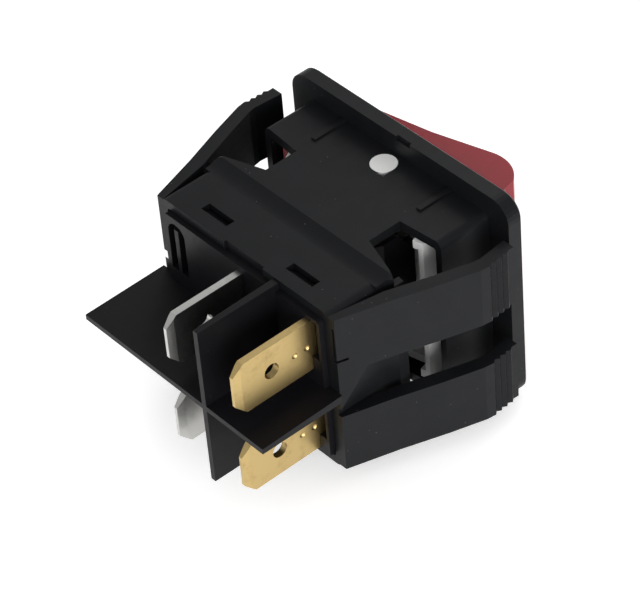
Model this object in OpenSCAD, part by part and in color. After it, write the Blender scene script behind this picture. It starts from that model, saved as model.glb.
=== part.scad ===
// Two-pole lighted rocker switch that snaps into a panel cut-out.
// Frame: X along the rocker, Y from the panel's front towards the terminals, Z across.
// Origin: centre of the cut-out in the plane where the bezel seats on the panel.

/* [Bezel] */
// Length of the bezel along X
bezel_l = 32.4; // [31:0.1:36]
// Width of the bezel along Z
bezel_w = 26.3; // [25.5:0.1:30]
// Thickness of the bezel
bezel_t = 1.85; // [1.5:0.05:2.2]
// Corner radius of the bezel
bezel_r = 2.35; // [1.5:0.05:3.5]
// Bevel round the bezel's front edge
bezel_bevel = 0.2; // [0.1:0.05:0.3]
// How far the opening flares at each end towards the front
flare = 0.42; // [0.3:0.02:0.6]

/* [Housing] */
// Length of the body over its end walls
body_l = 26.6; // [26:0.1:27.4]
// Width of the body over its side walls
body_w = 21.6; // [21:0.1:22.4]
// Depth of the body behind the panel seat
body_d = 20.65; // [20.3:0.05:21.5]
// Thickness of the end walls
end_wall = 0.85; // [0.75:0.05:1]
// Thickness of the side walls
side_wall = 1.1; // [0.9:0.05:1.3]
// Radius of the body's long corners
body_r = 0.9; // [0.5:0.1:1.2]
// Depth at which the side walls end in a ridge
ridge_y = 12.7; // [12.4:0.1:13.2]
// Length of the hollow ramp behind the ridge
ramp_l = 2; // [1.4:0.1:2.4]
// Step from the side walls down to the terminal block
step_side = 0.5; // [0.3:0.05:0.6]
// Step from the end walls down to the terminal block
step_end = 0.4; // [0.3:0.05:0.5]
// Wall of the terminal block
block_wall = 1; // [0.8:0.05:1.2]
// Radius of the terminal block's long corners
block_r = 1; // [0.6:0.1:1.4]

/* [End windows] */
// Depth at which the window in each end wall starts
window_y0 = 6.4; // [6:0.1:6.8]
// Depth at which the window in each end wall stops
window_y1 = 11.5; // [11:0.1:12]
// Distance from the middle to the window's edge in the side walls
window_x = 7.8; // [7:0.1:8.5]
// Depth of the window's rear edge, at its inner corner
window_slant_y = 10.9; // [10.4:0.1:11.4]

/* [Snap wings] */
// Thickness of a wing
wing_t = 1.5; // [1.3:0.05:1.6]
// Half the gap between two wings
wing_gap = 2.85; // [2.4:0.05:3.2]
// Distance from the middle to a wing's outer edge
wing_edge = 10.1; // [9.6:0.1:10.6]
// Reach of a wing's crest from the middle
wing_reach = 18.45; // [18:0.05:18.8]
// Depth of a wing's free end
wing_tip_y = 1.15; // [1:0.05:1.3]
// Depth of the first tooth
tooth_y = 4.7; // [4.5:0.05:4.9]
// Number of teeth that hold panels of different thickness
teeth = 4; // [3:1:4]
// Distance between teeth
tooth_pitch = 0.82; // [0.7:0.02:0.9]
// Height of a tooth
tooth_h = 0.3; // [0.2:0.05:0.4]

/* [Rocker] */
// Depth of the rocker's pivot behind the panel seat
pivot_y = 1.87; // [1.8:0.01:2]
// Radius of the trunnions
trunnion_r = 1.45; // [1.3:0.05:1.6]
// Radial clearance of the trunnions in the housing
trunnion_gap = 0.05; // [0.03:0.01:0.08]
// Tilt of the rocker to either side
tilt = 14; // [12:0.5:14.5]
// Height of the lens above the pivot, at its crests
lens_h = 9.06; // [8.6:0.02:9.4]
// Slope of each half of the lens towards the middle
lens_dish = 2.6; // [1.5:0.1:4]
// Gap between the lens's front and the housing at each end
lens_end_gap = 1; // [0.9:0.05:1.4]
// Radius of the lens at each end of its front
lens_end_r = 4.4; // [3.5:0.1:5]
// Half the width of the lens at its front
lens_top_w = 8.6; // [8.2:0.05:8.8]
// Half the width of the lens at its base
lens_base_w = 9.2; // [8.9:0.05:9.25]
// Wall of the lens
lens_wall = 1.2; // [1:0.05:1.4]

/* [Carrier] */
// Half the width of the carrier's skirt
skirt_w = 9.25; // [9:0.05:9.3]
// Wall of the carrier
carrier_wall = 1; // [0.8:0.05:1.2]
// Depth of the skirt below the pivot
skirt_d = 7; // [6.5:0.1:7.2]
// Half the length of the skirt at its top
skirt_top_l = 11; // [10.5:0.1:11.2]
// Half the length of the skirt at its bottom
skirt_low_l = 9.2; // [8.8:0.1:9.5]
// Depth of the skirt's sides below the pivot, between its two ends
skirt_side_d = 5.2; // [4.8:0.1:5.6]
// Thickness of the deck under the lamp
deck_t = 1.2; // [1:0.1:1.5]

/* [Poles] */
// Distance from the middle to each pole
pole_z = 5.38; // [5.3:0.02:5.5]
// Distance from the common terminal to the load terminal
pitch = 10; // [9.8:0.05:10.2]
// Width of a blade
blade_w = 6.3; // [6.1:0.05:6.4]
// Thickness of a blade
blade_t = 0.8; // [0.7:0.05:0.85]
// Depth of the blades' tips
blade_tip_y = 31.05; // [30.5:0.05:32]
// Depth of the hole in each blade
hole_y = 26.4; // [26:0.1:27]
// Diameter of the hole in each blade
hole_d = 1.8; // [1.6:0.1:2]

/* [Terminal base] */
// How far the plate stands above the housing's rim
plate_rise = 0.65; // [0.5:0.05:0.8]
// Thickness of the plate
plate_t = 3.9; // [3.7:0.05:4.1]
// Thickness of the barriers at the plate
barrier_t = 0.9; // [0.8:0.05:1.1]
// Thickness of the barriers at their free edges
barrier_tip_t = 0.65; // [0.5:0.05:0.75]
// Depth of the barriers' free edges
barrier_y = 31.05; // [30.5:0.05:32]
// Half the length of the long barrier
barrier_half_l = 13.8; // [13.4:0.1:14.2]
// Half the width of the cross barrier
barrier_half_w = 10.1; // [9.8:0.1:10.4]
// Place of the cross barrier between the terminals
cross_x = 5; // [4.8:0.1:5.2]

/* [Contacts] */
// Radius of the plungers
plunger_r = 1.5; // [1.4:0.05:1.55]
// Radial clearance of the plungers in the carrier
plunger_gap = 0.05; // [0.03:0.01:0.08]
// Radius of the plungers' tips
tip_r = 1.2; // [1.1:0.05:1.3]
// Distance from the levers' axis to the plate
lever_drop = 3.65; // [3.6:0.05:3.75]
// Tilt of the contact levers to either side
lever_tilt = 8; // [7.5:0.25:8]
// Slope of the levers' ramps
ramp_slope = 20; // [19.5:0.5:21]
// Thickness of the levers
lever_t = 0.6; // [0.5:0.05:0.65]
// Width of the levers
lever_w = 4.4; // [4:0.1:4.6]
// Radius of the rivets' heads
rivet_r = 1.4; // [1.2:0.1:1.5]

/* [Lamp] */
// Radius of the neon lamp
lamp_r = 2.7; // [2.4:0.1:2.8]
// Length of the lamp's straight part
lamp_l = 8.5; // [7.5:0.1:9]
// Radius of the resistor
resistor_r = 1; // [0.9:0.05:1.15]
// Length of the resistor
resistor_l = 4.6; // [4:0.1:5]

/* [Hidden] */

$fn = 48;
fit = 0.05;        // gap between pieces that sit in one another
bite = 0.4;        // how far joined forms reach into each other
through = 2;       // how far a cutter runs past what it cuts

in_l = body_l - 2 * end_wall;
in_w = body_w - 2 * side_wall;
block_l = body_l - 2 * step_end;
block_w = body_w - 2 * step_side;
block_in_l = block_l - 2 * block_wall;
block_in_w = block_w - 2 * block_wall;
aperture_w = in_w - 0.4;                  // opening for the rocker through the bezel
hollow_r = 0.3;                           // inner corners of the mouldings
window_skew = 0.6;                        // how far the window's rear edge slants

plate_y1 = body_d + plate_rise;
plate_y0 = plate_y1 - plate_t;
plate_r = 0.6;
plate_l = block_in_l - 2 * fit;
plate_w = block_in_w - 2 * fit;
latch_y = plate_y0 + 0.65;                // snap noses that hold the plate in the housing
latch_x0 = 4.65;
latch_x1 = 8.25;
latch_h = 0.8;
latch_gap = 0.15;
notch_l = 5.8;                            // shallow notch in the middle of each long rim
notch_h = 0.3;

base_y = 0.5;                             // lens's lower edge, from the pivot
sweep_r = in_l / 2 - 0.07;                // rocker's ends swing inside this radius
lens_half_l = in_l / 2 - lens_end_gap;
lens_lean = (lens_base_w - lens_top_w) / (lens_h + base_y);
core_top = -3.6;                          // top of the carrier, inside the lens
core_w = lens_base_w - lens_wall - lens_lean * (base_y - core_top) - 0.1;
core_l = sqrt(pow(sweep_r - lens_wall, 2) - core_top * core_top) - 0.1;
deck_y = -deck_t / 2;
well_r = plunger_r + plunger_gap;
barrel_r = well_r + 0.8;
well_top = 0;
boss_r = trunnion_r + 0.35;

lever_y = plate_y0 - lever_drop;          // axis of the contact levers
tip_gap = 0.14;
rise = ramp_slope - lever_tilt;           // slope of the pressed ramp at rest
// Distance from the pivot to the centre of a plunger's tip, which just clears the pressed ramp.
tip_reach = (lever_y - pivot_y - (tip_r + tip_gap) / cos(rise)
    - lever_t / 2 * (cos(lever_tilt) - sin(lever_tilt) * tan(rise)))
    / (cos(tilt) + sin(tilt) * tan(rise));
barrel_d = tip_reach - 2.5;
plunger_back = tip_reach - 5.75;          // where the plunger ends and its spring starts
knee_x = 4.3;
tail_x = 5.6;
pad_x0 = -pitch - 0.2;
pad_x1 = -7.3;
contact_x = -8.75;
pad_drop = 0.9;                           // contact pad below the lever's axis
pin_r = 0.25;
pin_gap = 0.05;
head_t = 0.65;
stop_w = 3;
shank_r = 0.7;
flange_t = blade_t;
flange_y = plate_y0 - fit - flange_t;
fixed_head_y = lever_y + pad_drop + lever_t + head_t + 0.06;
spring_r = 1.15;
wire_r = 0.2;
spring_turns = 6;
lamp_y = deck_y - lamp_r - 0.5;
lead_x = lamp_l / 2 + 3.4;
lead_y = deck_y - resistor_r - 0.1;
guard_x = 7;                              // outer faces of the guards beside the levers
guard_y = pivot_y + 2.6;                  // guards' front edge, behind the carrier's deck
guard_w = skirt_w - carrier_wall - 0.15;
guard_top_w = core_w - carrier_wall - 0.15;
web_t = 1.2;                              // wall between the two poles
relief_h = 0.7;                           // pockets in the plate's rear face
relief_t = 1.1;
resistor_x = 1.8;
tip_chamfer = 1.25;                       // corners of a blade's tip
tip_bevel = 0.9;                          // bevels on a blade's faces at its tip
shoulder = 0.4;                           // ledge by which a common terminal rests on the plate
core_r = 0.8;
lens_bulge = 0.3;                         // how far the lens's ends swell past its front

black = [0.12, 0.12, 0.13];
brass = [0.74, 0.64, 0.42];
silver = [0.72, 0.72, 0.72];

function turn(p, a) = [p.x * cos(a) - p.y * sin(a), p.x * sin(a) + p.y * cos(a)];

// Extrudes an XZ outline from depth y0 to depth y1.
module along_y(y0, y1) {
    translate([0, y1, 0])
        rotate([90, 0, 0])
            linear_extrude(y1 - y0)
                children();
}

// Extrudes a YZ outline from x0 to x1.
module along_x(x0, x1) {
    translate([x0, 0, 0])
        rotate([90, 0, 90])
            linear_extrude(x1 - x0)
                children();
}

// Extrudes an XY outline from z0 to z1.
module along_z(z0, z1) {
    translate([0, 0, z0])
        linear_extrude(z1 - z0)
            children();
}

module rounded_rect(l, w, r) {
    square([l - 2 * r, w], center = true);
    square([l, w - 2 * r], center = true);
    for (sx = [-1, 1], sy = [-1, 1])
        translate([sx * (l / 2 - r), sy * (w / 2 - r)])
            circle(r);
}

module in_rocker() {
    translate([0, pivot_y, 0])
        rotate([0, 0, tilt])
            children();
}

// ---- housing ----

module bezel_plate() {
    hull() {
        along_y(bezel_bevel - bezel_t, 0)
            rounded_rect(bezel_l, bezel_w, bezel_r, $fn = 32);
        along_y(-bezel_t, -bezel_t / 2)
            rounded_rect(bezel_l - 2 * bezel_bevel, bezel_w - 2 * bezel_bevel,
                bezel_r - bezel_bevel, $fn = 32);
    }
}

// The ridge ends in a hollow ramp: a cylinder touches the block's face where the ramp stops.
module ramp_cut(half, step, length, side) {
    r = (ramp_l * ramp_l + step * step) / (2 * step);
    translate([0, ridge_y + ramp_l, side * (half - step + r)])
        rotate([0, 90, 0])
            cylinder(r = r, h = length, center = true, $fn = 96);
}

module body_solid() {
    along_y(-bite, ridge_y)
        rounded_rect(body_l, body_w, body_r);
    along_y(ridge_y - bite, body_d)
        rounded_rect(block_l, block_w, block_r);
    difference() {
        along_y(ridge_y - bite, ridge_y + ramp_l)
            rounded_rect(body_l, body_w, body_r);
        for (side = [-1, 1]) {
            ramp_cut(body_w / 2, step_side, body_l + through, side);
            rotate([0, 90, 0])
                ramp_cut(body_l / 2, step_end, body_w + through, side);
        }
    }
}

module body_hollow() {
    along_z(-aperture_w / 2, aperture_w / 2)
        polygon([
            [-in_l / 2 - flare, -bezel_t - bite], [in_l / 2 + flare, -bezel_t - bite],
            [in_l / 2 + flare, -bezel_t], [in_l / 2, 0], [in_l / 2, bite],
            [-in_l / 2, bite], [-in_l / 2, 0], [-in_l / 2 - flare, -bezel_t]
        ]);
    along_y(0, ridge_y)
        rounded_rect(in_l, in_w, hollow_r);
    along_y(ridge_y - bite, body_d + bite)
        rounded_rect(block_in_l, block_in_w, hollow_r);
}

// One window runs through the end wall and round both corners into the side walls.
module window_cut() {
    corner_x = body_l / 2;
    along_z(-body_w, body_w)
        polygon([
            [window_x, window_y0 + bite], [in_l / 2, window_y0], [corner_x + bite, window_y0],
            [corner_x + bite, window_y1], [window_x, window_y1 - window_skew]
        ]);
    for (side = [-1, 1])
        scale([1, 1, side])
            along_z(block_in_w / 2, body_w)
                polygon([
                    [window_x, window_y0 + bite], [corner_x + bite, window_y0 + bite],
                    [corner_x + bite, ridge_y], [corner_x, ridge_y],
                    [window_x, window_slant_y]
                ]);
}

// Outer face of a wing: each point is a share of the way out and a share of the depth.
module wing_profile() {
    root_x = body_l / 2 + 0.1;
    crest = wing_reach;
    face = [for (p = [[0, 1], [0.36, 0.72], [0.71, 0.48], [0.97, 0.28]])
        [root_x + p[0] * (crest - root_x), p[1] * body_d]];
    polygon(concat(
        face,
        [for (i = [0 : teeth - 1]) each [
            [crest - 0.04 * i, tooth_y - i * tooth_pitch],
            [crest - 0.04 * i - tooth_h, tooth_y - i * tooth_pitch - tooth_pitch * 0.45]
        ]],
        [[crest - bite, wing_tip_y], [crest - wing_t - 0.3, wing_tip_y],
            [crest - wing_t, 4.6], face[3] - [wing_t, 0.3], face[2] - [wing_t, 0.5],
            face[1] - [wing_t, 0.5], [block_l / 2, 0.9 * body_d], [block_l / 2 - bite, body_d]]
    ));
}

// Two wings on one end. The first one's root reaches across the gap on a slant.
module wing_pair() {
    intersection() {
        along_z(-wing_gap, wing_edge)
            wing_profile();
        along_x(0, wing_reach + through)
            polygon([
                [wing_tip_y, wing_gap], [0.85 * body_d, wing_gap], [body_d, 1 - wing_gap],
                [body_d, wing_edge], [wing_tip_y, wing_edge]
            ]);
    }
    along_z(-wing_edge, -wing_gap)
        wing_profile();
}

// A thin slot between a wing's root and the end wall, open at the rim and hooked at its end.
module root_slot() {
    slot_t = 0.3;
    slot_x = body_l / 2 - 0.35;
    hook_z = wing_gap + 1.6;
    translate([slot_x, body_d - 1.2, hook_z])
        cube([slot_t, through, wing_edge - 1.3 - hook_z]);
    translate([slot_x, body_d - 1.2, hook_z])
        cube([1.2, through, slot_t]);
}

// Bore of a trunnion, with the corner that its mould leaves towards the rear.
module pivot_bore() {
    r = trunnion_r + trunnion_gap;
    translate([0, pivot_y, 0]) {
        cylinder(r = r, h = body_w + through, center = true);
        for (side = [-1, 1])
            translate([-r, 0, side * body_w / 2 - side_wall])
                cube([r, r, 2 * side_wall]);
    }
}

module side_ribs() {
    rib_x = 7.9;
    rib_t = 0.6;
    rib_h = 0.2;
    for (side = [-1, 1], x = [-rib_x, rib_x])
        translate([x - rib_t / 2, -bite, side > 0 ? body_w / 2 - bite : -body_w / 2 - rib_h])
            cube([rib_t, 4.4 + bite, bite + rib_h]);
}

// Where the moulding was cut from its runner, on the bezel's rear edge.
module gate_mark() {
    mark_l = 2;
    mark_h = 0.3;
    translate([-mark_l, -mark_h, bezel_w / 2 - 0.5])
        cube([mark_l, through, through]);
}

module housing() {
    color(black)
    difference() {
        union() {
            bezel_plate();
            body_solid();
            side_ribs();
            mirror([1, 0, 0])
                wing_pair();
            mirror([0, 0, 1])
                wing_pair();
        }
        body_hollow();
        window_cut();
        mirror([1, 0, 0])
            window_cut();
        mirror([1, 0, 0])
            root_slot();
        mirror([0, 0, 1])
            root_slot();
        pivot_bore();
        for (x = [-latch_x1 - latch_gap, latch_x0 - latch_gap])
            translate([x, latch_y - latch_gap, -body_w])
                cube([latch_x1 - latch_x0 + 2 * latch_gap, latch_h + 2 * latch_gap, 2 * body_w]);
        translate([-notch_l / 2, body_d - notch_h, -body_w])
            cube([notch_l, through, 2 * body_w]);
        gate_mark();
    }
}

// ---- terminal base ----

module barrier_profile(depth0) {
    polygon([
        [depth0, -barrier_t / 2], [barrier_y, -barrier_tip_t / 2],
        [barrier_y, barrier_tip_t / 2], [depth0, barrier_t / 2]
    ]);
}

module terminal_base() {
    over_rim = body_d + fit;
    color(black)
    difference() {
        union() {
            along_y(plate_y0, plate_y1)
                rounded_rect(plate_l, plate_w, plate_r);
            along_x(-barrier_half_l, barrier_half_l)
                barrier_profile(over_rim);
            along_x(-plate_l / 2 + bite, plate_l / 2 - bite)
                barrier_profile(plate_y1 - bite);
            translate([-cross_x, 0, 0])
                rotate([0, 90, 0]) {
                    along_x(-barrier_half_w, barrier_half_w)
                        barrier_profile(over_rim);
                    along_x(-plate_w / 2 + bite, plate_w / 2 - bite)
                        barrier_profile(plate_y1 - bite);
                }
            for (side = [-1, 1], x = [-latch_x1, latch_x0])
                scale([1, 1, side])
                    along_x(x, x + latch_x1 - latch_x0)
                        polygon([
                            [latch_y, plate_w / 2 - bite], [latch_y, plate_w / 2 + 0.3],
                            [latch_y + latch_h, plate_w / 2 + 0.7],
                            [latch_y + latch_h, plate_w / 2 - bite]
                        ]);
            for (side = [-1, 1])
                translate([tail_x - 1, lever_y - 0.1, side * pole_z - stop_w / 2])
                    cube([1.4, lever_drop + bite, stop_w]);
            guard_wall();
            mirror([1, 0, 0])
                guard_wall();
            translate([-guard_x + bite, guard_y, -web_t / 2])
                cube([2 * (guard_x - bite), plate_y0 - guard_y + bite, web_t]);
        }
        for (side = [-1, 1])
            translate([0, 0, side * pole_z]) {
                terminal_slot(0);
                terminal_slot(-pitch);
                translate([-pitch - blade_t / 2 - relief_t, plate_y1 - relief_h, -1.4])
                    cube([relief_t, through, blade_w - 1.4]);
                blank_place(pitch);
            }
    }
}

// A guard between the levers and the carrier's end, carried by the web between the poles.
module guard_wall() {
    intersection() {
        along_z(-guard_w, guard_w)
            polygon([
                [guard_x, guard_y], [guard_x, pivot_y + 6.6], [guard_x - 1.1, pivot_y + 8.9],
                [guard_x - 1.9, pivot_y + 8.9], [guard_x - 0.8, pivot_y + 6.5],
                [guard_x - 0.8, guard_y]
            ]);
        along_x(0, guard_x)
            polygon([
                [guard_y, -guard_top_w], [guard_y + 0.9, -guard_top_w], [guard_y + 2, -guard_w],
                [body_d, -guard_w], [body_d, guard_w], [guard_y + 2, guard_w],
                [guard_y + 0.9, guard_top_w], [guard_y, guard_top_w]
            ]);
    }
}

module terminal_slot(x) {
    translate([x - blade_t / 2 - 2 * fit, plate_y0 - bite, -blade_w / 2 - fit])
        cube([blade_t + 4 * fit, plate_t + through, blade_w + 2 * fit]);
}

// A terminal place left closed: a shallow pocket with a round end and a rib along its middle.
module blank_place(x) {
    pocket_w = 2.6;
    rib_t = 0.6;
    end_z = blade_w / 2 - pocket_w / 2;
    translate([x, 0, 0])
        difference() {
            along_y(plate_y1 - relief_h, plate_y1 + through) {
                translate([0, -pocket_w / 4])
                    square([pocket_w, blade_w - pocket_w / 2], center = true);
                translate([0, end_z])
                    circle(pocket_w / 2);
            }
            translate([-rib_t / 2, plate_y1 - through, -blade_w])
                cube([rib_t, 2 * through, blade_w + end_z + rib_t]);
        }
}

// ---- terminals and contacts ----

module blade_outline(y0) {
    half = blade_w / 2;
    polygon([
        [y0, -half], [blade_tip_y - tip_chamfer, -half], [blade_tip_y, tip_chamfer - half],
        [blade_tip_y, half - tip_chamfer], [blade_tip_y - tip_chamfer, half], [y0, half]
    ]);
}

// Blade seen from its edge, with the tip bevelled on both faces.
module blade_section(y0) {
    polygon([
        [-blade_t / 2, y0], [-blade_t / 2, blade_tip_y - tip_bevel], [-blade_t / 4, blade_tip_y],
        [blade_t / 4, blade_tip_y], [blade_t / 2, blade_tip_y - tip_bevel], [blade_t / 2, y0]
    ]);
}

module blade(y0) {
    difference() {
        intersection() {
            along_x(-blade_t, blade_t)
                blade_outline(y0);
            along_z(-blade_w, blade_w)
                blade_section(y0);
        }
        translate([0, hole_y, 0])
            rotate([0, 90, 0])
                cylinder(d = hole_d, h = 2 * blade_t, center = true);
    }
}

// Shallow marks that the press leaves on both faces of a blade.
module dimples() {
    mark_r = 0.42;
    for (face = [-1, 1])
        translate([face * (blade_t / 2 + 0.6 * mark_r), 0, 0])
            sphere(mark_r, $fn = 24);
}

module common_terminal(side) {
    stop_y = plate_y0 - fit;
    color(silver)
    translate([0, 0, side * pole_z])
    difference() {
        union() {
            blade(stop_y - bite);
            along_x(-blade_t / 2, blade_t / 2)
                polygon([
                    [lever_y, -blade_w / 2], [stop_y - 1, -blade_w / 2],
                    [stop_y - 1, -blade_w / 2 - shoulder], [stop_y, -blade_w / 2 - shoulder],
                    [stop_y, blade_w / 2 + shoulder], [stop_y - 1, blade_w / 2 + shoulder],
                    [stop_y - 1, blade_w / 2], [lever_y, blade_w / 2]
                ]);
        }
        translate([-blade_t, lever_y - bite, -lever_w / 2 - 0.25])
            cube([2 * blade_t, 1.5, lever_w + 0.5]);
        translate([0, lever_y, 0])
            cylinder(r = pin_r + pin_gap, h = 2 * blade_w, center = true);
        translate([0, plate_y1 + 1.75, 0])
            dimples();
    }
}

module load_terminal(side) {
    bend_r = 1;
    bend_y = flange_y + bend_r;
    color(brass)
    translate([0, 0, side * pole_z])
    difference() {
        union() {
            translate([-pitch, 0, 0])
                blade(bend_y);
            along_z(-blade_w / 2, blade_w / 2)
                translate([-pitch - blade_t / 2 + bend_r, bend_y])
                    intersection() {
                        difference() {
                            circle(bend_r);
                            circle(bend_r - blade_t);
                        }
                        translate([-bend_r, -bend_r])
                            square(bend_r);
                    }
            translate([-pitch - blade_t / 2 + bend_r, flange_y, -blade_w / 2])
                cube([contact_x + 1.35 * rivet_r + pitch - bend_r + blade_t / 2, flange_t, blade_w]);
        }
        translate([contact_x, flange_y, 0])
            rotate([90, 0, 0])
                cylinder(r = shank_r + fit, h = 2 * through, center = true);
        for (y = [plate_y1 + 0.6, plate_y1 + 2.15])
            translate([-pitch, y, 0])
                dimples();
    }
}

module fixed_contact(side) {
    color(silver)
    translate([contact_x, 0, side * pole_z])
    rotate([-90, 0, 0]) {
        translate([0, 0, fixed_head_y])
            cylinder(r = rivet_r, h = flange_y - fit / 2 - fixed_head_y);
        translate([0, 0, fixed_head_y + 0.2])
            cylinder(r = shank_r, h = plate_y0 - fit - fixed_head_y - 0.2);
    }
}

// The lever is drawn closed: its ramps meet over the pins, its pad lies level on the contact.
module contact_lever(side) {
    top = -lever_t / 2;
    knee_y = top - knee_x * tan(ramp_slope);
    upper = [
        [pad_x0, pad_drop], [pad_x1, pad_drop], turn([-knee_x, knee_y], -lever_tilt),
        turn([0, top], -lever_tilt), turn([knee_x, knee_y], -lever_tilt),
        turn([tail_x, knee_y], -lever_tilt)
    ];
    count = len(upper);
    lower = [for (i = [count - 1 : -1 : 0]) upper[i] + [0, lever_t]];
    color(silver)
    translate([0, lever_y, side * pole_z]) {
        difference() {
            along_z(-lever_w / 2, lever_w / 2)
                polygon(concat(upper, lower));
            translate([contact_x, pad_drop, 0])
                rotate([90, 0, 0])
                    cylinder(r = shank_r + fit, h = 2 * through, center = true);
        }
        for (end = [-1, 1])
            translate([0, 0, end * (lever_w / 2 + 0.2)])
                cylinder(r = pin_r, h = 1.3, center = true);
    }
}

module lever_contact(side) {
    pad_y = lever_y + pad_drop;
    color(silver)
    translate([contact_x, 0, side * pole_z])
    rotate([-90, 0, 0]) {
        translate([0, 0, pad_y + lever_t + fit / 2])
            cylinder(r = rivet_r - 0.1, h = head_t - fit / 2);
        translate([0, 0, pad_y])
            cylinder(r = shank_r, h = lever_t + 0.2);
        translate([0, 0, pad_y - 0.25])
            cylinder(r = shank_r + 0.25, h = 0.25 - fit / 2);
        translate([0, 0, pad_y - 0.1])
            cylinder(r = shank_r, h = 0.2);
    }
}

// ---- rocker ----

// Side view of the lens: two dished halves, rounded ends, and flanks that follow the sweep.
module lens_profile(wall) {
    h = lens_h - wall;
    half = lens_half_l + lens_bulge - wall;
    r = lens_end_r - wall;
    crest_x = half - r;
    mid_y = -h + crest_x * tan(lens_dish);
    intersection() {
        union() {
            polygon([
                [-half, base_y + through], [-half, r - h], [-crest_x, r - h], [-crest_x, -h],
                [0, mid_y], [crest_x, -h], [crest_x, r - h], [half, r - h], [half, base_y + through]
            ]);
            for (end = [-1, 1])
                translate([end * crest_x, r - h])
                    circle(r, $fn = 96);
            intersection() {
                circle(sweep_r - wall, $fn = 180);
                translate([-sweep_r, -lens_h / 2])
                    square([2 * sweep_r, lens_h]);
            }
        }
        union() {
            circle(sweep_r - wall, $fn = 180);
            translate([-lens_half_l + wall, -lens_h])
                square([2 * (lens_half_l - wall), lens_h / 2]);
        }
    }
}

// Lens seen from its end: the flanks lean in towards the front.
module lens_section(wall) {
    low = base_y + through;
    top_half = lens_top_w - lens_lean - wall;
    low_half = lens_base_w + lens_lean * through - wall;
    polygon([[-lens_h - 1, -top_half], [low, -low_half], [low, low_half], [-lens_h - 1, top_half]]);
}

module lens_form(wall, low) {
    intersection() {
        along_z(-lens_base_w - 1, lens_base_w + 1)
            lens_profile(wall);
        along_x(-sweep_r - 1, sweep_r + 1)
            lens_section(wall);
        translate([-sweep_r - 1, -lens_h - 1, -lens_base_w - 1])
            cube([2 * sweep_r + 2, lens_h + 1 + low, 2 * lens_base_w + 2]);
    }
}

module rocker_lens() {
    color([0.62, 0.1, 0.14, 0.85])
    in_rocker()
        difference() {
            lens_form(0, base_y);
            lens_form(lens_wall, base_y + 1);
            cylinder(r = boss_r + 0.1, h = 3 * lens_base_w, center = true);
            translate([-boss_r - 0.1, 0, -2 * lens_base_w])
                cube([2 * boss_r + 0.2, through, 4 * lens_base_w]);
        }
}

module skirt_outline(wall) {
    polygon([
        [-skirt_top_l + wall, base_y + fit - bite], [skirt_top_l - wall, base_y + fit - bite],
        [skirt_low_l - wall, skirt_d], [wall - skirt_low_l, skirt_d]
    ]);
}

// The space behind the deck, which widens from the core's width to the skirt's.
module carrier_hollow() {
    top = deck_y + deck_t;
    low = skirt_d + through;
    core_z = core_w - carrier_wall;
    skirt_z = skirt_w - carrier_wall;
    intersection() {
        along_z(-skirt_z, skirt_z)
            polygon([
                [carrier_wall - skirt_top_l, top], [skirt_top_l - carrier_wall, top],
                [skirt_low_l - carrier_wall, low], [carrier_wall - skirt_low_l, low]
            ]);
        along_x(-core_l, core_l)
            polygon([
                [top, -core_z], [base_y + 1, -core_z], [base_y + 2, -skirt_z], [low, -skirt_z],
                [low, skirt_z], [base_y + 2, skirt_z], [base_y + 1, core_z], [top, core_z]
            ]);
    }
}

module rocker_carrier() {
    color("white")
    in_rocker()
        difference() {
            union() {
                difference() {
                    along_z(-skirt_w, skirt_w)
                        skirt_outline(0);
                    translate([-sweep_r, base_y + fit - through, -2 * skirt_w])
                        cube([2 * sweep_r, through, 4 * skirt_w]);
                    translate([-skirt_low_l + 1.2, skirt_side_d, -2 * skirt_w])
                        cube([2 * skirt_low_l - 2.4, skirt_d, 4 * skirt_w]);
                }
                along_y(core_top, base_y + fit + bite)
                    rounded_rect(2 * core_l, 2 * core_w, core_r);
                cylinder(r = boss_r, h = 2 * skirt_w, center = true);
                cylinder(r = trunnion_r, h = body_w - 0.1, center = true);
            }
            along_y(core_top - 1, deck_y)
                rounded_rect(2 * (core_l - carrier_wall), 2 * (core_w - carrier_wall), 0.5);
            difference() {
                carrier_hollow();
                for (side = [-1, 1])
                    translate([0, 0, side * pole_z])
                        along_y(deck_y, barrel_d)
                            circle(barrel_r);
            }
            for (side = [-1, 1])
                translate([0, 0, side * pole_z])
                    rotate([-90, 0, 0]) {
                        translate([0, 0, well_top])
                            cylinder(r = well_r, h = barrel_d);
                        translate([0, 0, deck_y - 1])
                            cylinder(r = 0.4, h = 2);
                    }
        }
}

// ---- lamp ----

module neon_lamp() {
    color([0.95, 0.8, 0.7, 0.5])
    in_rocker()
        translate([0, lamp_y, 0])
            rotate([0, 90, 0]) {
                cylinder(r = lamp_r, h = lamp_l, center = true);
                translate([0, 0, -lamp_l / 2])
                    sphere(lamp_r);
                translate([0, 0, lamp_l / 2])
                    cylinder(r1 = lamp_r, r2 = 1.5, h = 1.4);
            }
}

module rod(a, b, r) {
    v = b - a;
    reach = norm(v);
    translate(a)
        rotate([0, acos(v.z / reach), atan2(v.y, v.x)])
            cylinder(r = r, h = reach, $fn = 16);
}

module wire(points, r) {
    for (i = [0 : len(points) - 2])
        rod(points[i], points[i + 1], r);
    for (i = [1 : len(points) - 2])
        translate(points[i])
            sphere(1.06 * r, $fn = 16);
}

module resistor() {
    color("tan")
    in_rocker()
        translate([resistor_x, lead_y, pole_z])
            rotate([0, 90, 0])
                cylinder(r = resistor_r, h = resistor_l);
}

module lamp_lead(side) {
    r = 0.25;
    start = [lamp_l / 2 + 1.4, lamp_y, side * 0.8];
    turn_1 = [lead_x, lamp_y, side * 0.8];
    turn_2 = [lead_x, lead_y, side * pole_z];
    drop = [0, lead_y, side * pole_z];
    low = [0, well_top + 0.3, side * pole_z];
    color(silver)
    in_rocker()
        if (side > 0) {
            wire([start, turn_1, turn_2, [resistor_x + resistor_l, lead_y, side * pole_z]], r);
            wire([[resistor_x, lead_y, side * pole_z], drop, low], r);
        } else {
            wire([start, turn_1, turn_2, drop, low], r);
        }
}

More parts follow.
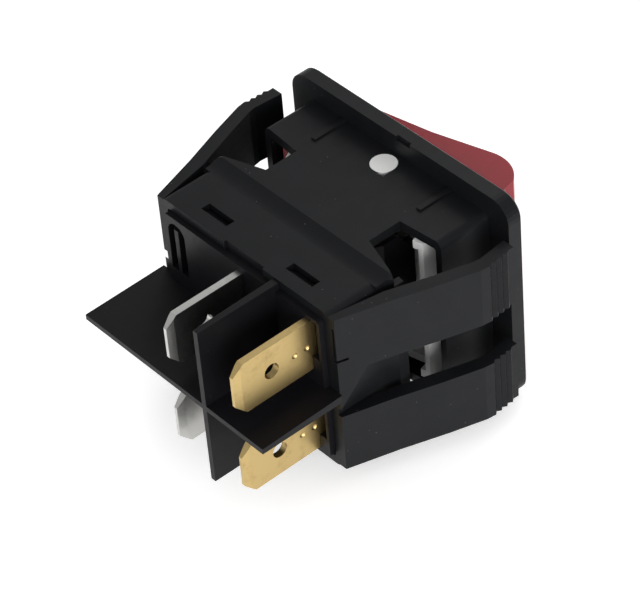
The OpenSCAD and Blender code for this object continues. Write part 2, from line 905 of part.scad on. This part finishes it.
// ---- plungers ----

module plunger(side) {
    color(brass)
    in_rocker()
        translate([0, 0, side * pole_z])
            rotate([-90, 0, 0]) {
                translate([0, 0, plunger_back])
                    cylinder(r = plunger_r, h = tip_reach - 0.7 - plunger_back);
                translate([0, 0, tip_reach - 0.7])
                    cylinder(r1 = plunger_r, r2 = tip_r, h = 0.7);
                translate([0, 0, tip_reach])
                    sphere(tip_r);
            }
}

// Coil spring: a ring of points carried along a helix.
module plunger_spring(side) {
    sides = 6;
    steps = 14;
    length = plunger_back - well_top - 2 * fit - 2 * wire_r;
    rings = spring_turns * steps;
    points = [for (i = [0 : rings], j = [0 : sides - 1])
        let (a = 360 * i / steps, b = 360 * j / sides, r = spring_r + wire_r * cos(b))
            [r * cos(a), r * sin(a), length * i / rings + wire_r * sin(b)]];
    walls = [for (i = [0 : rings - 1], j = [0 : sides - 1])
        let (k = (j + 1) % sides)
            [i * sides + j, i * sides + k, (i + 1) * sides + k, (i + 1) * sides + j]];
    caps = [[for (j = [sides - 1 : -1 : 0]) j], [for (j = [0 : sides - 1]) rings * sides + j]];
    color(silver)
    in_rocker()
        translate([0, well_top + fit + wire_r, side * pole_z])
            rotate([-90, 0, 0])
                polyhedron(points, concat(walls, caps));
}

housing();
terminal_base();
rocker_lens();
rocker_carrier();
neon_lamp();
resistor();
lamp_lead(1);  // lamp_lead_1
lamp_lead(-1);  // lamp_lead_2
plunger(1);  // plunger_1
plunger(-1);  // plunger_2
plunger_spring(1);  // plunger_spring_1
plunger_spring(-1);  // plunger_spring_2
contact_lever(1);  // contact_lever_1
contact_lever(-1);  // contact_lever_2
lever_contact(1);  // lever_contact_1
lever_contact(-1);  // lever_contact_2
fixed_contact(1);  // fixed_contact_1
fixed_contact(-1);  // fixed_contact_2
common_terminal(1);  // common_terminal_1
common_terminal(-1);  // common_terminal_2
load_terminal(1);  // load_terminal_1
load_terminal(-1);  // load_terminal_2
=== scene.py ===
import math

import bpy
from bpy.props import FloatProperty, FloatVectorProperty, PointerProperty
from bpy.types import Operator, Panel, PropertyGroup
from mathutils import Matrix, Vector


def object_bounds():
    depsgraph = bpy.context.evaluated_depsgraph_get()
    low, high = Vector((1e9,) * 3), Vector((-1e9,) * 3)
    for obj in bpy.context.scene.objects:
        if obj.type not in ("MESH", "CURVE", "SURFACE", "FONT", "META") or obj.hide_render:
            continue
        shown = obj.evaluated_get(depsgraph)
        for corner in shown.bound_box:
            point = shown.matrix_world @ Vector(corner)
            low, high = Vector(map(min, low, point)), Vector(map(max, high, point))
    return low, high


bl_info = {
    "name": "Panel Rocker Switch",
    "version": (1, 0, 0),
    "blender": (4, 5, 0),
    "location": "View3D > Sidebar > Rocker Switch",
    "description": "Finishes and stage for a lighted snap-in rocker switch",
    "category": "Object",
}

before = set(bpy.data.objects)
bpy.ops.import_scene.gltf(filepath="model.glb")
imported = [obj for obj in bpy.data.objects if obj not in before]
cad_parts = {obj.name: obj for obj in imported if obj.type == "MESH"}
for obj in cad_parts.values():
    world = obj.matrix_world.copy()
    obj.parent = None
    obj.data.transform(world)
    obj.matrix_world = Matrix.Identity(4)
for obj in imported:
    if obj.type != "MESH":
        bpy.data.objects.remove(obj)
CAD_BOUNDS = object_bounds()
MM = 0.001

# Finishes
EDGE_ANGLE = math.radians(38)       # edges that turn by more than this are rounded
LENS_EDGE = 0.3 * MM
GRAIN_DEPTH = 0.004 * MM
MARK_DEPTH = 0.002 * MM
LENS_WAVE_DEPTH = 0.02 * MM
GLASS_RIPPLE_DEPTH = 0.01 * MM
DUST_CELL = 0.85 * MM
DUST_RADIUS = 0.055                 # share of a cell's width
DUST_COLOUR = (0.35, 0.35, 0.36, 1)
WHITE = (1, 1, 1, 1)

# Stage
FLOOR_REACH = 3.0
LAMP_SIZE = 0.30
LAMPS = (                           # name, place from the object's middle, share of the power
    ("Key", (-0.36, 0.16, 0.06), 1.8),
    ("Fill", (-0.05, 0.35, 0.30), 0.4),
    ("Front", (0.15, -0.35, 0.20), 0.6),
)
SENSOR_WIDTH = 36                   # in millimetres, like the focal length
CLIP_START, CLIP_END = 0.01, 20
CAMERA_PLACE = (-0.192586, 0.162024, 0.219039)
VIEW_RIGHT = Vector((-0.660937, -0.747418, -0.067290))
VIEW_DOWN = Vector((-0.471390, 0.483265, -0.737731))

# Sockets of the Mix node when it mixes colours
MIX_FACTOR, MIX_A, MIX_B, MIX_RESULT = 0, 6, 7, 2


# ---- properties ----

def colour_property(name, description, default):
    """A colour that a user can change, in linear values."""
    return FloatVectorProperty(name=name, description=description, subtype="COLOR",
                               size=3, min=0, max=1, default=default)


def length_property(name, description, default):
    """A length in metres that a user can change."""
    return FloatProperty(name=name, description=description, subtype="DISTANCE",
                         unit="LENGTH", min=0, default=default)


class PlasticSettings(PropertyGroup):
    """Colours and grain of the moulded pieces."""
    housing: colour_property("Housing", "Colour of the housing", (0.006, 0.0065, 0.0075))
    base: colour_property("Terminal base", "Colour of the terminal base",
                          (0.0055, 0.0052, 0.0065))
    lens: colour_property("Lens", "Colour of the clear lens", (0.34, 0.008, 0.018))
    carrier: colour_property("Carrier", "Colour of the carrier", (0.78, 0.78, 0.77))
    resistor: colour_property("Resistor", "Colour of the resistor's coat", (0.42, 0.24, 0.12))
    grain: length_property("Grain", "Size of the mould's fine grain", 0.12 * MM)
    edge: length_property("Edge", "Radius of the moulded edges", 0.13 * MM)
    roughness: FloatProperty(name="Roughness", description="Roughness of the black pieces",
                             min=0, max=1, default=0.42)


class MetalSettings(PropertyGroup):
    """Colours and finish of the metal pieces."""
    brass: colour_property("Brass", "Colour of the bare brass blades", (0.62, 0.46, 0.2))
    silver: colour_property("Silver", "Colour of the plated blades", (0.62, 0.62, 0.6))
    steel: colour_property("Steel", "Colour of the springs and leads", (0.5, 0.5, 0.52))
    brush: length_property("Brush marks", "Width of the rolling marks", 0.05 * MM)
    edge: length_property("Edge", "Radius of the stamped edges", 0.07 * MM)


class StageSettings(PropertyGroup):
    """Floor, lamps and camera."""
    floor: colour_property("Floor", "Colour of the floor", (0.93, 0.93, 0.93))
    floor_lift: FloatProperty(name="Floor lift",
                              description="Light that the floor adds of its own",
                              min=0, max=2, default=0.42)
    world: FloatProperty(name="World", description="Strength of the world's light",
                         min=0, max=2, default=0.5)
    key: FloatProperty(name="Lamp power", description="Power that each lamp takes its share of",
                       subtype="POWER", unit="POWER", min=0, default=1.0)
    lens: FloatProperty(name="Focal length", description="Focal length of the camera",
                        subtype="DISTANCE_CAMERA", min=1, default=181.3)


def settings():
    """The three groups of settings on the scene."""
    scene = bpy.context.scene
    return scene.switch_plastic, scene.switch_metal, scene.switch_stage


# ---- shader helpers ----

def new_finish_group(name, inputs):
    """A node group that gives colour, roughness and height; inputs are (name, kind, default)."""
    group = bpy.data.node_groups.new(name, "ShaderNodeTree")
    for label, kind, default in inputs:
        socket = group.interface.new_socket(label, in_out="INPUT", socket_type=kind)
        socket.default_value = default
    for label, kind in (("Colour", "NodeSocketColor"), ("Roughness", "NodeSocketFloat"),
                        ("Height", "NodeSocketFloat")):
        group.interface.new_socket(label, in_out="OUTPUT", socket_type=kind)
    return group, group.nodes.new("NodeGroupInput"), group.nodes.new("NodeGroupOutput")


def set_input(tree, socket, value):
    """Links value to the input if it is a socket, and otherwise sets the input to it."""
    if isinstance(value, bpy.types.NodeSocket):
        tree.links.new(value, socket)
    else:
        socket.default_value = value


def math_node(tree, operation, *values):
    """A Math node; each value is a socket or a number."""
    node = tree.nodes.new("ShaderNodeMath")
    node.operation = operation
    for socket, value in zip(node.inputs, values):
        set_input(tree, socket, value)
    return node.outputs[0]


def mix_colour(tree, factor, a, b, blend="MIX"):
    """A colour Mix node; factor, a and b are sockets or values."""
    node = tree.nodes.new("ShaderNodeMix")
    node.data_type = "RGBA"
    node.blend_type = blend
    for index, value in ((MIX_FACTOR, factor), (MIX_A, a), (MIX_B, b)):
        set_input(tree, node.inputs[index], value)
    return node.outputs[MIX_RESULT]


def ramp_node(tree, value, low, high):
    """Maps value from low..high to 0..1 and clamps it."""
    node = tree.nodes.new("ShaderNodeMapRange")
    node.inputs["From Min"].default_value = low
    node.inputs["From Max"].default_value = high
    tree.links.new(value, node.inputs["Value"])
    return node.outputs[0]


def object_coords(tree, stretch=(1, 1, 1)):
    """Object coordinates in metres, scaled per axis."""
    coords = tree.nodes.new("ShaderNodeTexCoord")
    mapping = tree.nodes.new("ShaderNodeMapping")
    mapping.inputs["Scale"].default_value = stretch
    tree.links.new(coords.outputs["Object"], mapping.inputs["Vector"])
    return mapping.outputs[0]


def noise(tree, vector, size, detail=3.0, rough=0.55):
    """Noise whose lumps are about size metres; size is a number or a socket."""
    node = tree.nodes.new("ShaderNodeTexNoise")
    tree.links.new(vector, node.inputs["Vector"])
    node.inputs["Detail"].default_value = detail
    node.inputs["Roughness"].default_value = rough
    if isinstance(size, (int, float)):
        node.inputs["Scale"].default_value = 1 / size
    else:
        tree.links.new(math_node(tree, "DIVIDE", 1.0, size), node.inputs["Scale"])
    return node.outputs["Fac"]


def moulded_grain_group():
    """Grain, cloudy flow and fine dust of a moulded surface."""
    group, source, result = new_finish_group("Moulded grain", (
        ("Colour", "NodeSocketColor", (0.5, 0.5, 0.5, 1)),
        ("Grain Size", "NodeSocketFloat", 0.1 * MM),
        ("Roughness", "NodeSocketFloat", 0.45),
        ("Cloud", "NodeSocketFloat", 0.2),
        ("Dust", "NodeSocketFloat", 0.3)))
    vector = object_coords(group)
    cloud = noise(group, vector, size=3.5 * MM, detail=4.0)
    fine = noise(group, vector, source.outputs["Grain Size"], detail=2.0)
    streak = noise(group, object_coords(group, stretch=(1, 0.25, 1)), size=0.9 * MM)
    shade = math_node(group, "MULTIPLY_ADD", math_node(group, "SUBTRACT", cloud, 0.5),
                      source.outputs["Cloud"], 1.0)
    tinted = mix_colour(group, 1.0, source.outputs["Colour"], shade, "MULTIPLY")

    cells = group.nodes.new("ShaderNodeTexVoronoi")
    group.links.new(vector, cells.inputs["Vector"])
    cells.inputs["Scale"].default_value = 1 / DUST_CELL
    speck = math_node(group, "LESS_THAN", cells.outputs["Distance"], DUST_RADIUS)
    where = noise(group, vector, size=2.2 * MM, detail=1.0)
    sparse = math_node(group, "GREATER_THAN", where, 0.56)
    dust = math_node(group, "MULTIPLY", math_node(group, "MULTIPLY", speck, sparse),
                     source.outputs["Dust"])
    group.links.new(mix_colour(group, dust, tinted, DUST_COLOUR), result.inputs["Colour"])

    uneven = math_node(group, "MULTIPLY", math_node(group, "SUBTRACT", streak, 0.5), 0.22)
    group.links.new(math_node(group, "ADD", source.outputs["Roughness"], uneven),
                    result.inputs["Roughness"])
    height = math_node(group, "ADD", math_node(group, "MULTIPLY", fine, 0.6),
                       math_node(group, "MULTIPLY", cloud, 0.8))
    group.links.new(height, result.inputs["Height"])
    return group


def rolled_metal_group():
    """Rolling marks along the blades, with faint stains."""
    group, source, result = new_finish_group("Rolled metal", (
        ("Colour", "NodeSocketColor", (0.5, 0.5, 0.5, 1)),
        ("Stain", "NodeSocketColor", (0.2, 0.1, 0.05, 1)),
        ("Mark Size", "NodeSocketFloat", 0.05 * MM),
        ("Roughness", "NodeSocketFloat", 0.3)))
    along = object_coords(group, stretch=(1, 0.04, 1))
    marks = noise(group, along, source.outputs["Mark Size"])
    patches = noise(group, object_coords(group), size=1.6 * MM, detail=5.0, rough=0.65)
    stain = math_node(group, "MULTIPLY", ramp_node(group, patches, 0.52, 0.78), 0.45)
    streaked = mix_colour(group, math_node(group, "MULTIPLY", marks, 0.22),
                          source.outputs["Colour"], source.outputs["Stain"])
    group.links.new(mix_colour(group, stain, streaked, source.outputs["Stain"]),
                    result.inputs["Colour"])

    uneven = math_node(group, "MULTIPLY", math_node(group, "ADD", marks, patches), 0.12)
    group.links.new(math_node(group, "ADD", source.outputs["Roughness"], uneven),
                    result.inputs["Roughness"])
    height = math_node(group, "ADD", marks, math_node(group, "MULTIPLY", patches, 0.5))
    group.links.new(height, result.inputs["Height"])
    return group


def shared_group(name, builder):
    """The node group of that name, built the first time it is asked for."""
    return bpy.data.node_groups.get(name) or builder()


def new_material(name):
    """A material with its Principled shader and its tree."""
    material = bpy.data.materials.new(name)
    material.use_nodes = True
    tree = material.node_tree
    return material, tree, tree.nodes["Principled BSDF"]


def add_bump(tree, shader, height, depth):
    """Feeds height to the shader's normal; depth is in metres."""
    bump = tree.nodes.new("ShaderNodeBump")
    bump.inputs["Distance"].default_value = depth
    tree.links.new(height, bump.inputs["Height"])
    tree.links.new(bump.outputs[0], shader.inputs["Normal"])


def use_group(tree, shader, group, values, depth):
    """Places a shared group and joins its outputs to the shader."""
    node = tree.nodes.new("ShaderNodeGroup")
    node.node_tree = group
    for label, value in values.items():
        node.inputs[label].default_value = value
    tree.links.new(node.outputs["Colour"], shader.inputs["Base Color"])
    tree.links.new(node.outputs["Roughness"], shader.inputs["Roughness"])
    add_bump(tree, shader, node.outputs["Height"], depth)


def rgba(colour):
    """A colour property's value with alpha 1."""
    return (*colour, 1.0)


def plastic_material(name, colour, roughness, cloud, dust, shine=0.15):
    """A moulded plastic; cloud, dust and shine run from 0 to 1."""
    plastic = settings()[0]
    material, tree, shader = new_material(name)
    use_group(tree, shader, shared_group("Moulded grain", moulded_grain_group), {
        "Colour": rgba(colour), "Grain Size": plastic.grain, "Roughness": roughness,
        "Cloud": cloud, "Dust": dust}, GRAIN_DEPTH)
    shader.inputs["IOR"].default_value = 1.5
    shader.inputs["Specular IOR Level"].default_value = shine
    return material


def metal_material(name, colour, stain, roughness):
    """A rolled or drawn metal."""
    metal = settings()[1]
    material, tree, shader = new_material(name)
    use_group(tree, shader, shared_group("Rolled metal", rolled_metal_group), {
        "Colour": rgba(colour), "Stain": rgba(stain), "Mark Size": metal.brush,
        "Roughness": roughness}, MARK_DEPTH)
    shader.inputs["Metallic"].default_value = 1.0
    return material


def lens_material():
    """Clear red plastic with a faintly uneven surface."""
    plastic = settings()[0]
    material, tree, shader = new_material("Lens red")
    flow = noise(tree, object_coords(tree), size=2.5 * MM, detail=2.0)
    scuff = noise(tree, object_coords(tree, stretch=(0.2, 1, 1)), size=0.25 * MM)
    deep = tuple(0.8 * part for part in plastic.lens)
    tree.links.new(mix_colour(tree, flow, rgba(plastic.lens), rgba(deep)),
                   shader.inputs["Base Color"])
    tree.links.new(math_node(tree, "MULTIPLY_ADD", scuff, 0.1, 0.1), shader.inputs["Roughness"])
    shader.inputs["Transmission Weight"].default_value = 0.12
    shader.inputs["IOR"].default_value = 1.25
    shader.inputs["Specular IOR Level"].default_value = 0.35
    add_bump(tree, shader, flow, LENS_WAVE_DEPTH)
    return material


def glass_material():
    """Thin clear glass of the lamp."""
    material, tree, shader = new_material("Lamp glass")
    ripple = noise(tree, object_coords(tree), size=1.5 * MM, detail=2.0)
    tree.links.new(mix_colour(tree, ripple, (0.95, 0.9, 0.86, 1), (0.9, 0.84, 0.8, 1)),
                   shader.inputs["Base Color"])
    shader.inputs["Roughness"].default_value = 0.05
    shader.inputs["Transmission Weight"].default_value = 1.0
    shader.inputs["IOR"].default_value = 1.48
    add_bump(tree, shader, ripple, GLASS_RIPPLE_DEPTH)
    return material


def assign(names, material, edge=0.0, segments=2):
    """Gives CAD nodes a material and, where edge is set, rounded edges."""
    for name in names:
        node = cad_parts[name]
        node.data.materials.clear()
        node.data.materials.append(material)
        if edge:
            bevel = node.modifiers.new("Edges", "BEVEL")
            bevel.width = edge
            bevel.segments = segments
            bevel.limit_method = "ANGLE"
            bevel.angle_limit = EDGE_ANGLE


# ---- operators: finishes ----

class SWITCH_OT_housing(Operator):
    """Finishes the housing moulding with its bezel and wings"""
    bl_idname = "switch.housing"
    bl_label = "Finish Housing"

    def execute(self, context):
        plastic = settings()[0]
        black = plastic_material("Housing black", plastic.housing, plastic.roughness,
                                 cloud=0.7, dust=0.35)
        assign(["housing"], black, plastic.edge)
        return {"FINISHED"}


class SWITCH_OT_base(Operator):
    """Finishes the terminal base and its barriers"""
    bl_idname = "switch.base"
    bl_label = "Finish Terminal Base"

    def execute(self, context):
        plastic = settings()[0]
        black = plastic_material("Base black", plastic.base, plastic.roughness,
                                 cloud=0.5, dust=0.15)
        assign(["terminal_base"], black, plastic.edge)
        return {"FINISHED"}


class SWITCH_OT_rocker(Operator):
    """Finishes the lens and the carrier under it"""
    bl_idname = "switch.rocker"
    bl_label = "Finish Rocker"

    def execute(self, context):
        plastic = settings()[0]
        assign(["rocker_lens"], lens_material(), LENS_EDGE, segments=3)
        white = plastic_material("Carrier white", plastic.carrier, roughness=0.4,
                                 cloud=0.12, dust=0.0, shine=0.5)
        assign(["rocker_carrier"], white, plastic.edge)
        return {"FINISHED"}


class SWITCH_OT_terminals(Operator):
    """Finishes the brass and the plated blades"""
    bl_idname = "switch.terminals"
    bl_label = "Finish Terminals"

    def execute(self, context):
        metal = settings()[1]
        brass = metal_material("Blade brass", metal.brass,
                               stain=(0.3, 0.19, 0.07), roughness=0.24)
        silver = metal_material("Blade silver", metal.silver,
                                stain=(0.25, 0.23, 0.2), roughness=0.2)
        assign(["load_terminal_1", "load_terminal_2"], brass, metal.edge)
        assign(["common_terminal_1", "common_terminal_2"], silver, metal.edge)
        return {"FINISHED"}


class SWITCH_OT_contacts(Operator):
    """Finishes the levers, rivets, plungers and springs"""
    bl_idname = "switch.contacts"
    bl_label = "Finish Contacts"

    def execute(self, context):
        metal = settings()[1]
        turned = metal_material("Plunger brass", metal.brass,
                                stain=(0.4, 0.26, 0.1), roughness=0.2)
        lever = metal_material("Lever silver", metal.silver,
                               stain=(0.4, 0.33, 0.25), roughness=0.28)
        rivet = metal_material("Contact silver", colour=(0.75, 0.75, 0.73),
                               stain=(0.3, 0.28, 0.25), roughness=0.22)
        drawn = metal_material("Spring steel", metal.steel,
                               stain=(0.25, 0.25, 0.26), roughness=0.25)
        for end in ("_1", "_2"):
            assign(["plunger" + end], turned)
            assign(["contact_lever" + end], lever, metal.edge)
            assign(["lever_contact" + end, "fixed_contact" + end], rivet, metal.edge)
            assign(["plunger_spring" + end], drawn)
        return {"FINISHED"}


class SWITCH_OT_lamp(Operator):
    """Finishes the lamp, its resistor and its leads"""
    bl_idname = "switch.lamp"
    bl_label = "Finish Lamp"

    def execute(self, context):
        plastic, metal, _ = settings()
        assign(["neon_lamp"], glass_material())
        coat = plastic_material("Resistor coat", plastic.resistor, roughness=0.35,
                                cloud=0.3, dust=0.0)
        assign(["resistor"], coat)
        tinned = metal_material("Tinned wire", metal.steel,
                                stain=(0.3, 0.3, 0.3), roughness=0.3)
        assign(["lamp_lead_1", "lamp_lead_2"], tinned)
        return {"FINISHED"}


# ---- operators: stage ----

class SWITCH_OT_stage(Operator):
    """Sets the floor, lamps, world and camera"""
    bl_idname = "switch.stage"
    bl_label = "Set Stage"

    def execute(self, context):
        low, high = CAD_BOUNDS
        build_floor(low[2])
        build_world()
        build_lamps((Vector(low) + Vector(high)) / 2)
        build_camera()
        context.scene.view_settings.view_transform = "Standard"
        return {"FINISHED"}


def build_floor(height):
    """A pale floor that shows as plain white and keeps the object's shadow."""
    stage = settings()[2]
    mesh = bpy.data.meshes.new("Floor")
    corners = [(x * FLOOR_REACH, y * FLOOR_REACH, height)
               for x, y in ((-1, -1), (1, -1), (1, 1), (-1, 1))]
    mesh.from_pydata(corners, [], [(0, 1, 2, 3)])
    floor = bpy.data.objects.new("Floor", mesh)
    bpy.context.scene.collection.objects.link(floor)
    material, tree, shader = new_material("Floor pale")
    shader.inputs["Base Color"].default_value = rgba(stage.floor)
    shader.inputs["Roughness"].default_value = 0.9
    shader.inputs["Specular IOR Level"].default_value = 0.1
    lift_to_white(tree, shader, stage.floor_lift)
    mesh.materials.append(material)


def lift_to_white(tree, shader, strength):
    """Adds light of its own to a surface wherever the camera or a reflection sees it."""
    path = tree.nodes.new("ShaderNodeLightPath")
    seen = math_node(tree, "MAXIMUM", path.outputs["Is Camera Ray"],
                     path.outputs["Is Glossy Ray"])
    seen = math_node(tree, "MAXIMUM", seen, path.outputs["Is Transmission Ray"])
    shader.inputs["Emission Color"].default_value = WHITE
    tree.links.new(math_node(tree, "MULTIPLY", seen, strength),
                   shader.inputs["Emission Strength"])


def build_world():
    """A world that lights the object evenly with white."""
    world = bpy.data.worlds.new("Room")
    world.use_nodes = True
    back = world.node_tree.nodes["Background"]
    back.inputs["Color"].default_value = WHITE
    back.inputs["Strength"].default_value = settings()[2].world
    bpy.context.scene.world = world


def aim(obj, target):
    """Turns a lamp so that it shines at a point."""
    obj.rotation_euler = (target - obj.location).to_track_quat("-Z", "Y").to_euler()


def build_lamps(middle):
    """A side lamp, a fill from behind and a lamp in front."""
    power = settings()[2].key
    for name, offset, share in LAMPS:
        light = bpy.data.lights.new(name, "AREA")
        light.size = LAMP_SIZE
        light.energy = share * power
        lamp = bpy.data.objects.new(name, light)
        bpy.context.scene.collection.objects.link(lamp)
        lamp.location = middle + Vector(offset)
        aim(lamp, middle)


def build_camera():
    """A long lens behind the terminals and above them."""
    data = bpy.data.cameras.new("Camera")
    data.sensor_width = SENSOR_WIDTH
    data.lens = settings()[2].lens
    data.clip_start = CLIP_START
    data.clip_end = CLIP_END
    camera = bpy.data.objects.new("Camera", data)
    bpy.context.scene.collection.objects.link(camera)
    ahead = VIEW_RIGHT.cross(VIEW_DOWN)
    turn = Matrix((VIEW_RIGHT, -VIEW_DOWN, -ahead)).transposed().to_4x4()
    camera.matrix_world = Matrix.Translation(CAMERA_PLACE) @ turn
    bpy.context.scene.camera = camera


# ---- panel and registration ----

STEPS = (SWITCH_OT_housing, SWITCH_OT_base, SWITCH_OT_rocker, SWITCH_OT_terminals,
         SWITCH_OT_contacts, SWITCH_OT_lamp, SWITCH_OT_stage)


class SWITCH_PT_panel(Panel):
    """Lists the settings and the steps"""
    bl_idname = "SWITCH_PT_panel"
    bl_label = "Rocker Switch"
    bl_space_type = "VIEW_3D"
    bl_region_type = "UI"
    bl_category = "Rocker Switch"

    def draw(self, context):
        layout = self.layout
        for group in settings():
            box = layout.box()
            for name in group.__annotations__:
                box.prop(group, name)
        for step in STEPS:
            layout.operator(step.bl_idname)


GROUPS = (PlasticSettings, MetalSettings, StageSettings)


def register():
    """Adds the classes and the scene's settings."""
    for cls in (*GROUPS, *STEPS, SWITCH_PT_panel):
        bpy.utils.register_class(cls)
    bpy.types.Scene.switch_plastic = PointerProperty(type=PlasticSettings)
    bpy.types.Scene.switch_metal = PointerProperty(type=MetalSettings)
    bpy.types.Scene.switch_stage = PointerProperty(type=StageSettings)


def unregister():
    """Takes out what register added."""
    del bpy.types.Scene.switch_stage
    del bpy.types.Scene.switch_metal
    del bpy.types.Scene.switch_plastic
    for cls in reversed((*GROUPS, *STEPS, SWITCH_PT_panel)):
        bpy.utils.unregister_class(cls)


def main():
    """Runs the steps in order."""
    register()
    for step in STEPS:
        group, name = step.bl_idname.split(".")
        getattr(getattr(bpy.ops, group), name)()


if __name__ == "__main__":
    main()
